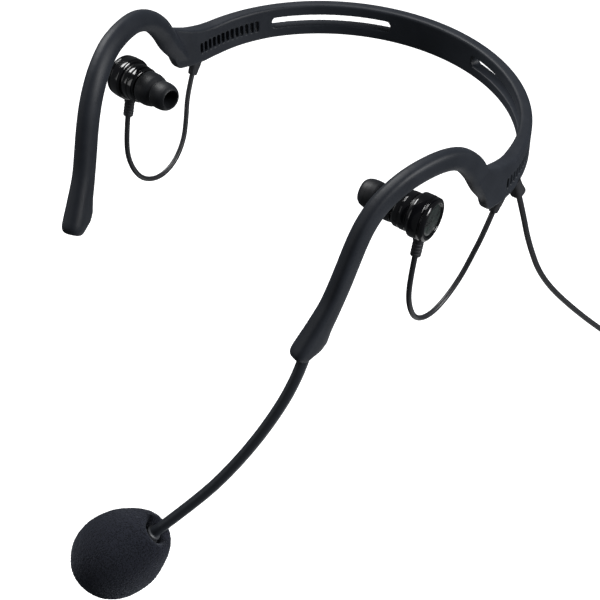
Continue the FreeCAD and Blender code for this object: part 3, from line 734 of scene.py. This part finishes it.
def hook_solid():
    rows = smooth_rows(HOOK, 4)
    last = len(rows) - 1
    rings = []
    ways = []
    for index in range(last + 1):
        before = rows[max(index - 1, 0)]
        after = rows[min(index + 1, last)]
        ways.append((Vector(after[:3]) - Vector(before[:3])).normalized())
    for back, size in ((3.6, 0.3), (3.1, 0.58), (2.2, 0.82), (1.1, 0.95)):
        row = Vector(rows[0])
        for axis in range(3):
            row[axis] -= ways[0][axis] * back
        rings.append(sleeve_ring(row, ways[0], X_AXIS, row[5] * size, row[5] * size, size, 0.0))
    for index, row in enumerate(rows):
        share = index / last
        turn = math.radians(-TOE_IN * share)
        across = Vector((math.cos(turn), math.sin(turn), 0))
        flare = between(share, [(0.86, 0.0), (0.93, 0.7), (0.967, 2.0), (1.0, 1.1)])
        rings.append(sleeve_ring(row, ways[index], across, row[5] + flare, row[5], 1.0, share))
    for beyond, front, back, width in LEG_END:
        row = Vector(rows[last])
        for axis in range(3):
            row[axis] += ways[last][axis] * beyond
        rings.append(sleeve_ring(row, ways[last], across, front, back, width, 1.0))
    return loft(rings)


def baked(piece):
    """The mesh that a piece's modifiers make."""
    graph = bpy.context.evaluated_depsgraph_get()
    return bpy.data.meshes.new_from_object(piece.evaluated_get(graph))


def build_skin():
    band = bpy.data.objects.new("band_blank", raw_mesh("band_blank", *band_solid()))
    cutters = bpy.data.objects.new("slot_cutters", raw_mesh("slot_cutters", *slot_cutters()))
    bpy.context.scene.collection.objects.link(band)
    bpy.context.scene.collection.objects.link(cutters)
    cut = band.modifiers.new("slots", "BOOLEAN")
    cut.object = cutters
    cut.operation = "DIFFERENCE"
    cut.solver = "EXACT"
    cut_band = baked(band)
    hook = hook_solid()
    hooks = raw_mesh("hooks", *joined([hook, mirrored(hook)]))
    work = bmesh.new()
    work.from_mesh(cut_band)
    work.from_mesh(hooks)
    union = bpy.data.meshes.new("skin_blank")
    work.to_mesh(union)
    work.free()
    blank = bpy.data.objects.new("skin_blank", union)
    bpy.context.scene.collection.objects.link(blank)
    remesh = blank.modifiers.new("merge", "REMESH")
    remesh.mode = "VOXEL"
    remesh.voxel_size = SKIN_VOXEL * MM
    merged = baked(blank)
    blank.modifiers.clear()
    blank.data = merged
    group = blank.vertex_groups.new(name="junctions")
    for vertex in merged.vertices:
        place = vertex.co / MM
        weight = max(0.0, min(1.0, (4.2 - place.y) / 4.0))
        if weight > 0:
            group.add([vertex.index], weight, "REPLACE")
    for name, rounds, part in (("ease", 3, ""), ("flow", 3, "junctions")):
        smooth = blank.modifiers.new(name, "SMOOTH")
        smooth.factor = 0.5
        smooth.iterations = rounds
        smooth.vertex_group = part
    skin_mesh = baked(blank)
    skin_mesh.shade_smooth()
    for scrap in (band, cutters, blank):
        bpy.data.objects.remove(scrap)
    skin = show(bpy.data.objects.new("headset_skin", skin_mesh), "soft_black")
    place_on(skin, "headset", "neckband_frame", "left_hook_sleeve", "right_hook_sleeve",
             "right_leg_end_cap", "left_leg_boom_socket", "boom_ferrule")


# ---- glands under the band -----------------------------------------------------

def gland_ring(centre, along, half_y, half_x):
    """Section of a gland: a rectangle with well rounded corners."""
    side = (X_AXIS - along * X_AXIS.dot(along)).normalized()
    rise = along.cross(side).normalized()
    ring = []
    for index in range(GLAND_STEPS):
        turn = 2 * math.pi * index / GLAND_STEPS
        ring.append(centre + rise * (signed_power(math.sin(turn), 2 / GLAND_SQUARENESS) * half_y)
                    + side * (signed_power(math.cos(turn), 2 / GLAND_SQUARENESS) * half_x))
    return ring


def gland(name, top, end, sections, side, node):
    """Gland through sections: share of its length, half length along the band, half width."""
    way = (end - top).normalized()
    rings = []
    for share, half_y, half_x in sections:
        rings.append(gland_ring(top + (end - top) * share, way, half_y, half_x))
    points, faces = loft(rings)
    if side < 0:
        points, faces = mirrored((points, faces))
    piece = make_piece(name, points, faces, "strain_relief", 40.0)
    return place_on(piece, "headset", node)


def build_glands():
    end = Vector(EAR_CABLE_LINE[0])
    top = end + Vector((0.30, 3.1, 5.2))
    ear = [(-0.12, 2.5, 1.75), (0.0, 2.45, 1.75), (0.3, 2.3, 1.7), (0.55, 2.1, 1.62),
           (0.58, 2.0, 1.55), (0.8, 1.85, 1.48), (0.94, 1.7, 1.42), (1.0, 1.45, 1.25),
           (1.01, 1.0, 0.95)]
    gland("left_cable_gland", top, end, ear, 1, "left_ear_cable_gland")
    gland("right_cable_gland", top, end, ear, -1, "right_ear_cable_gland")
    end = Vector(MAIN_CABLE_LINE[0])
    top = end - Vector((0.57, 2.2, -5.9))
    main = [(-0.15, 1.85, 1.9), (0.0, 1.85, 1.9), (0.35, 2.0, 1.95), (0.7, 2.35, 2.15),
            (0.88, 2.55, 2.35), (0.97, 2.5, 2.3), (1.0, 2.2, 2.0), (1.01, 1.1, 1.1)]
    gland("main_gland", top, end, main, 1, "main_cable_gland")


# ---- earphones -----------------------------------------------------------------

def build_earphone(side_name, side):
    """Shells turned about the ear axis; side is 1 for the left ear, -1 for the right."""
    body = side_name + "_bud"
    face = Vector((BUD_FACE * side, BUD_Y, BUD_Z))
    lean = math.radians(BUD_TURN)
    way = Vector((-math.cos(lean) * side, -math.sin(lean), BUD_RISE)).normalized()
    cap = [(0.75, 0.0), (0.75, BADGE_RADIUS + 0.05), (0.3, BADGE_RADIUS + 0.25), (0.0, 5.95),
           (0.0, 6.75), (0.45, 7.35), (1.55, 7.5), (1.75, 7.15), (2.1, 7.15), (2.3, CAP_RADIUS),
           (5.5, CAP_RADIUS), (5.95, CAP_RADIUS - 0.15), (6.2, CAP_RADIUS - 0.6), (6.2, 0.0)]
    place_on(turned_piece(side_name + "_cap", cap, face, way, "gloss_shell", 0.16),
             body, side_name + "_bud_rear_cap")
    badge = [(0.22, 0.0), (0.24, 2.0), (0.3, 4.6), (0.42, 5.25), (0.74, 5.42), (0.76, 0.0)]
    disc = turned_piece(side_name + "_badge", badge, face, way, "badge", 0.1)
    place_on(disc, body, side_name + "_bud_badge_disc")
    neck = [(5.2, 0.0), (5.2, NECK_RADIUS), (7.2, NECK_RADIUS), (7.2, 0.0)]
    place_on(turned_piece(side_name + "_neck", neck, face, way, "dark_ring", 0.1),
             body, side_name + "_bud_neck_ring")
    front = [(6.9, 0.0), (6.9, 5.9), (7.0, 6.25), (7.35, FRONT_RADIUS), (9.4, FRONT_RADIUS),
             (9.6, 6.35), (9.8, 6.35), (10.0, 6.5), (11.6, 6.4), (12.3, 6.0), (12.6, 5.1),
             (12.6, 2.7), (12.6, 0.0)]
    place_on(turned_piece(side_name + "_front", front, face, way, "gloss_shell", 0.16),
             body, side_name + "_bud_front_housing")
    build_tip(side_name, face, way)
    build_relief(side_name, side, body)


def build_tip(side_name, face, way):
    """Double-flange silicone tip, open at the front."""
    outer = [(4.2, 3.7), (4.0, 4.2), (1.0, 4.9), (0.25, 5.3), (0.0, 5.6), (0.1, 5.85),
             (1.2, 6.0), (3.2, 5.95), (4.8, 5.6), (5.6, 5.1), (6.1, 4.65), (6.5, 4.4),
             (6.75, 4.6), (7.4, 4.95), (9.2, 5.0), (10.8, 4.85), (12.0, 4.45), (12.7, 3.9),
             (13.0, 3.55), (12.9, 3.25), (12.0, 3.0), (9.0, 2.8), (0.8, 2.8), (0.8, 3.7)]
    profile = eased([outer[-1]] + outer + [outer[0]], 0.3)[1:-1]
    points, faces = lathe(profile, face + way * TIP_START, way, loop=True)
    tip = make_piece(side_name + "_tip", points, faces, "silicone", 70.0)
    place_on(tip, side_name + "_tip", side_name + "_ear_tip")


def build_relief(side_name, side, body):
    """Ribbed strain relief under an earphone."""
    top = Vector((63.0 * side, BUD_Y - 1.1, BUD_Z - CAP_RADIUS + 0.5))
    way = Vector((0.0, -0.26, -0.96)).normalized()
    profile = [(-0.6, 0.0), (-0.6, 2.0), (1.9, 2.0), (2.1, 1.84)]
    for index in range(4):
        level = 2.3 + index * 1.15
        profile += [(level, 1.84), (level + 0.12, 1.7), (level + 0.38, 1.7), (level + 0.5, 1.82)]
    profile += [(7.1, 1.78), (7.4, 1.5), (7.4, 0.0)]
    piece = turned_piece(side_name + "_relief", profile, top, way, "strain_relief", 0.08, 48)
    place_on(piece, body, side_name + "_bud_strain_relief")


# ---- boom ----------------------------------------------------------------------

def boom_hinge_points():
    line = [Vector(point) for point in BOOM_LINE]
    return [line[0]] + [(line[index] + line[index + 1]) * 0.5 for index in (1, 2, 3)]


def boom_centres():
    """Closely spaced points of the boom's centre line, with the hinges among them."""
    line = [Vector(point) for point in BOOM_LINE]
    stops = boom_hinge_points()
    root = line[0] - (line[1] - line[0]).normalized() * BOOM_STUB
    centres = [root + (line[0] - root) * (index / 8) for index in range(8)]
    marks = []
    ends = stops[1:] + [line[5]]
    for index, start in enumerate(stops):
        corner = line[index + 1]
        end = ends[index]
        marks.append(len(centres))
        for step in range(BOOM_STEPS):
            t = step / BOOM_STEPS
            centres.append(start * (1 - t) ** 2 + corner * 2 * t * (1 - t) + end * t ** 2)
    centres.append(line[5])
    centres.append(line[5] + MIC_WAY * 0.6)
    return centres, marks


def tube_rings(centres, radius, steps):
    """Rings square to a line, without twist."""
    rings = []
    side = None
    for index, centre in enumerate(centres):
        before = centres[max(index - 1, 0)]
        after = centres[min(index + 1, len(centres) - 1)]
        way = (after - before).normalized()
        side = way.orthogonal() if side is None else side - way * side.dot(way)
        side.normalize()
        rise = way.cross(side)
        ring = []
        for step in range(steps):
            turn = 2 * math.pi * step / steps
            ring.append(centre + (side * math.cos(turn) + rise * math.sin(turn)) * radius)
        rings.append(ring)
    return rings


def build_boom():
    """Four lengths of sleeve, each curved round one hinge and meeting inside stiff runs."""
    centres, marks = boom_centres()
    rings = tube_rings(centres, BOOM_RADIUS, 40)
    bodies = ["headset", "boom_1", "boom_2", "boom_3", "boom_4"]
    cuts = [0] + [mark + BOOM_STEPS // 2 for mark in marks[:3]] + [len(rings) - 1]
    for index, mark in enumerate(marks):
        points, faces = loft(rings[cuts[index]:cuts[index + 1] + 1])
        piece = make_piece("boom_length_%d" % (index + 1), points, faces, "boom_sleeve", 60.0)
        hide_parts("boom_sleeve_%d" % (index + 1))
        way = (centres[mark + 1] - centres[mark - 1]).normalized()
        reach = way * BOOM_BEND_REACH
        bodies[index + 1]
        (centres[mark] - reach) * MM
        (centres[mark] + reach) * MM
        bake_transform(piece)


# ---- microphone and foam ---------------------------------------------------------

def build_collar():
    start = Vector(BOOM_LINE[5])
    profile = [(-0.1, 0.0), (-0.1, 2.3), (0.15, 2.75), (0.7, 2.9), (2.6, 2.9), (2.6, 0.0)]
    piece = turned_piece("mic_root", profile, start, MIC_WAY, "mic_metal", 0.12, 64)
    place_on(piece, "boom_4", "mic_collar")


def build_foam():
    """Foam egg with a dimpled mouth and an uneven open-cell surface."""
    mouth = FOAM_BORE + 0.2
    bore = [(FOAM_BORE_DEPTH, 0.0), (FOAM_BORE_DEPTH, FOAM_BORE), (5.0, FOAM_BORE), (2.4, mouth)]
    start = Vector(BOOM_LINE[5]) - FOAM_WAY * FOAM_OVERHANG
    outline = smooth_rows(FOAM_OUTLINE, 10)
    points, faces = lathe(bore + outline, start, FOAM_WAY, FOAM_STEPS)
    centre = start + FOAM_WAY * FOAM_MIDDLE
    roughened = []
    for point in points:
        out = (point - centre).normalized()
        pore = noise.noise(point * 1.7) * 0.16 + noise.noise(point * 3.6) * 0.10
        swell = noise.noise(point * 0.12) * 0.25
        beside = point - start - FOAM_WAY * (point - start).dot(FOAM_WAY)
        inside = beside.length < mouth
        roughened.append(point if inside else point + out * (pore + swell - 0.15))
    piece = make_piece("foam_egg", roughened, faces, "foam", 180.0)
    place_on(piece, "windscreen", "foam_windscreen")


# ---- cords -------------------------------------------------------------------------

def cord_curve(name, points, diameter):
    """Smooth cord: a NURBS line with the route's points as its control points."""
    curve = bpy.data.curves.new(name, "CURVE")
    curve.dimensions = "3D"
    curve.bevel_depth = diameter / 2 * MM
    curve.bevel_resolution = 6
    curve.resolution_u = 8
    curve.use_fill_caps = True
    spline = curve.splines.new("NURBS")
    spline.points.add(len(points) - 1)
    for control, point in zip(spline.points, points):
        control.co = (*(Vector(point) * MM), 1.0)
    spline.order_u = 3
    spline.use_endpoint_u = True
    return show(bpy.data.objects.new(name, curve), "cable_jacket")


def build_ear_cable(side_name, side):
    points = [(x * side, y, z) for x, y, z in EAR_CABLE_LINE]
    piece = cord_curve(side_name + "_short_cable", points, EAR_CABLE)
    place_on(piece, side_name + "_bud", side_name + "_ear_cable")


def coil_points():
    """Turns that lie side by side round a bundle; the cable goes in and out downward."""
    axis = COIL_OUT.cross(Z_AXIS)
    points = []
    total = COIL_TURNS * COIL_STEPS
    for index in range(total + 1):
        turn = 2 * math.pi * index / COIL_STEPS
        out = -COIL_OUT * math.cos(turn) - Z_AXIS * math.sin(turn)
        twist = 2 * math.pi * index / total + math.pi / 2
        points.append(COIL_CENTRE + out * (COIL_RADIUS + COIL_BUNDLE * math.cos(twist))
                      + axis * (COIL_BUNDLE * math.sin(twist)))
    return points


def build_tie():
    """Strap wrapped once round the bundle of turns, with its end laid over."""
    middle = COIL_CENTRE + COIL_OUT * COIL_RADIUS
    axis = COIL_OUT.cross(Z_AXIS)
    half = Z_AXIS * STRAP_HALF
    rings = []
    for index in range(STRAP_STEPS + 9):
        turn = 2 * math.pi * index / STRAP_STEPS
        radius = STRAP_RADIUS + STRAP_LIFT * max(0.0, min(1.0, (index - STRAP_STEPS + 6) / 8))
        out = COIL_OUT * math.cos(turn) + axis * math.sin(turn)
        low = middle + out * radius
        high = middle + out * (radius + STRAP_THICK)
        rings.append([low - half, low + half, high + half, high - half])
    points, faces = loft(rings)
    return place_on(make_piece("coil_strap", points, faces, "tie", 40.0), "headset", "cable_tie")


def build_plug():
    """Plug body with finger grooves, and its tapered strain relief."""
    top = COIL_CENTRE - COIL_OUT * COIL_RADIUS - Z_AXIS * TAIL_LENGTH
    taper = [(-0.2, 0.0), (-0.2, 1.3), (0.3, 1.55)]
    for index in range(5):
        level = 0.9 + index * 1.5
        wide = 1.65 + 0.16 * index
        taper += [(level, wide), (level + 0.15, wide - 0.25), (level + 0.5, wide - 0.22),
                  (level + 0.65, wide + 0.06)]
    taper += [(TAPER_LENGTH, 2.5), (TAPER_LENGTH, 0.0)]
    relief = turned_piece("plug_taper", taper, top, -Z_AXIS, "strain_relief", 0.08, 48)
    place_on(relief, "headset", "plug_strain_relief")
    body = [(0.0, 0.0), (0.0, 2.7), (0.6, 3.2), (1.4, PLUG_RADIUS)]
    for index in range(6):
        level = 3.4 + index * 1.3
        body += [(level, PLUG_RADIUS), (level + 0.18, 3.2), (level + 0.5, 3.2),
                 (level + 0.68, PLUG_RADIUS)]
    body += [(14.0, PLUG_RADIUS), (14.7, 3.2), (15.0, 2.8), (15.0, 0.0)]
    grip = turned_piece("plug_grip", body, top - Z_AXIS * TAPER_LENGTH, -Z_AXIS, "strain_relief",
                        0.08, 64)
    place_on(grip, "headset", "plug_body")
    return [relief, grip]


def build_main_cable():
    coil = coil_points()
    end = COIL_CENTRE - COIL_OUT * COIL_RADIUS
    tail = [end - Z_AXIS * drop for drop in TAIL_DROPS]
    points = [Vector(point) for point in MAIN_CABLE_LINE] + coil + tail
    piece = cord_curve("main_cable", points, MAIN_CABLE)
    place_on(piece, "headset", "main_cable_lead", "main_cable_coil", "main_cable_tail")
    on_cord = [build_tie()] + build_plug()
    on_cord += [frame["nodes"]["plug_contacts"], frame["nodes"]["plug_insulators"]]
    points[0] * MM


# ---- carried-over nodes -----------------------------------------------------------

def dress_nodes():
    """Every node of the frame gets the finish of its slot."""
    for part in frame["record"]["subparts"]:
        node = frame["nodes"][part["node"]]
        for material_slot in node.material_slots:
            material_slot.material = FINISHES[part["material_slot"]].material


# ---- camera, light and floor --------------------------------------------------------

AIM = Vector((0.0158, -0.0387, -0.0518))
AZIMUTH = 38.6
ELEVATION = 41.4
DISTANCE = 0.531
FLOOR_LEVEL = -0.36
FLOOR_REACH = 30.0
SKY_STRENGTH = 0.09


def build_camera():
    turn = math.radians(AZIMUTH)
    lift = math.radians(ELEVATION)
    towards = Vector((math.sin(turn) * math.cos(lift), -math.cos(turn) * math.cos(lift),
                      math.sin(lift)))
    data = bpy.data.cameras.new("camera")
    data.lens = 90.0
    data.sensor_width = 36.0
    data.clip_start = 0.01
    data.clip_end = 100.0
    camera = bpy.data.objects.new("camera", data)
    camera.location = AIM + towards * DISTANCE
    camera.rotation_euler = (-towards).to_track_quat("-Z", "Y").to_euler()
    bpy.context.scene.collection.objects.link(camera)
    bpy.context.scene.camera = camera


def softbox(name, place, size_x, size_y, power):
    data = bpy.data.lights.new(name, "AREA")
    data.shape = "RECTANGLE"
    data.size = size_x
    data.size_y = size_y
    data.energy = power
    lamp = bpy.data.objects.new(name, data)
    lamp.location = place
    lamp.rotation_euler = (AIM - Vector(place)).to_track_quat("-Z", "Y").to_euler()
    bpy.context.scene.collection.objects.link(lamp)


def build_studio():
    world = bpy.data.worlds.new("studio")
    bpy.context.scene.world = world
    world.use_nodes = True
    world.node_tree.nodes["Background"].inputs["Color"].default_value = (0.9, 0.95, 1.0, 1.0)
    world.node_tree.nodes["Background"].inputs["Strength"].default_value = SKY_STRENGTH
    floor_mesh = bpy.data.meshes.new("floor")
    corners = [(x * FLOOR_REACH, y * FLOOR_REACH, FLOOR_LEVEL)
               for x, y in ((-1, -1), (1, -1), (1, 1), (-1, 1))]
    floor_mesh.from_pydata(corners, [], [(0, 1, 2, 3)])
    floor = bpy.data.objects.new("floor", floor_mesh)
    bpy.context.scene.collection.objects.link(floor)
    paper = Finish("floor_paper", (0.9, 0.9, 0.9), 0.9, Emission_Color=(1.0, 1.0, 1.0),
                   Emission_Strength=0.75)
    floor_mesh.materials.append(paper.material)
    floor.visible_glossy = False
    floor.visible_diffuse = False
    softbox("top_box", (-0.52, 0.06, 0.72), 0.45, 0.4, 8.0)
    softbox("right_box", (0.92, 0.16, 0.42), 0.3, 0.6, 11.0)
    softbox("left_box", (-0.60, -0.70, 0.30), 0.3, 0.6, 0.9)
    softbox("low_box", (0.10, 0.06, -0.32), 0.3, 0.3, 0.2)
    bpy.context.scene.view_settings.view_transform = "Standard"


build_skin()
build_glands()
for name, hand in (("left", 1), ("right", -1)):
    build_earphone(name, hand)
    build_ear_cable(name, hand)
build_boom()
build_collar()
build_foam()
build_main_cable()
dress_nodes()
build_camera()
build_studio()
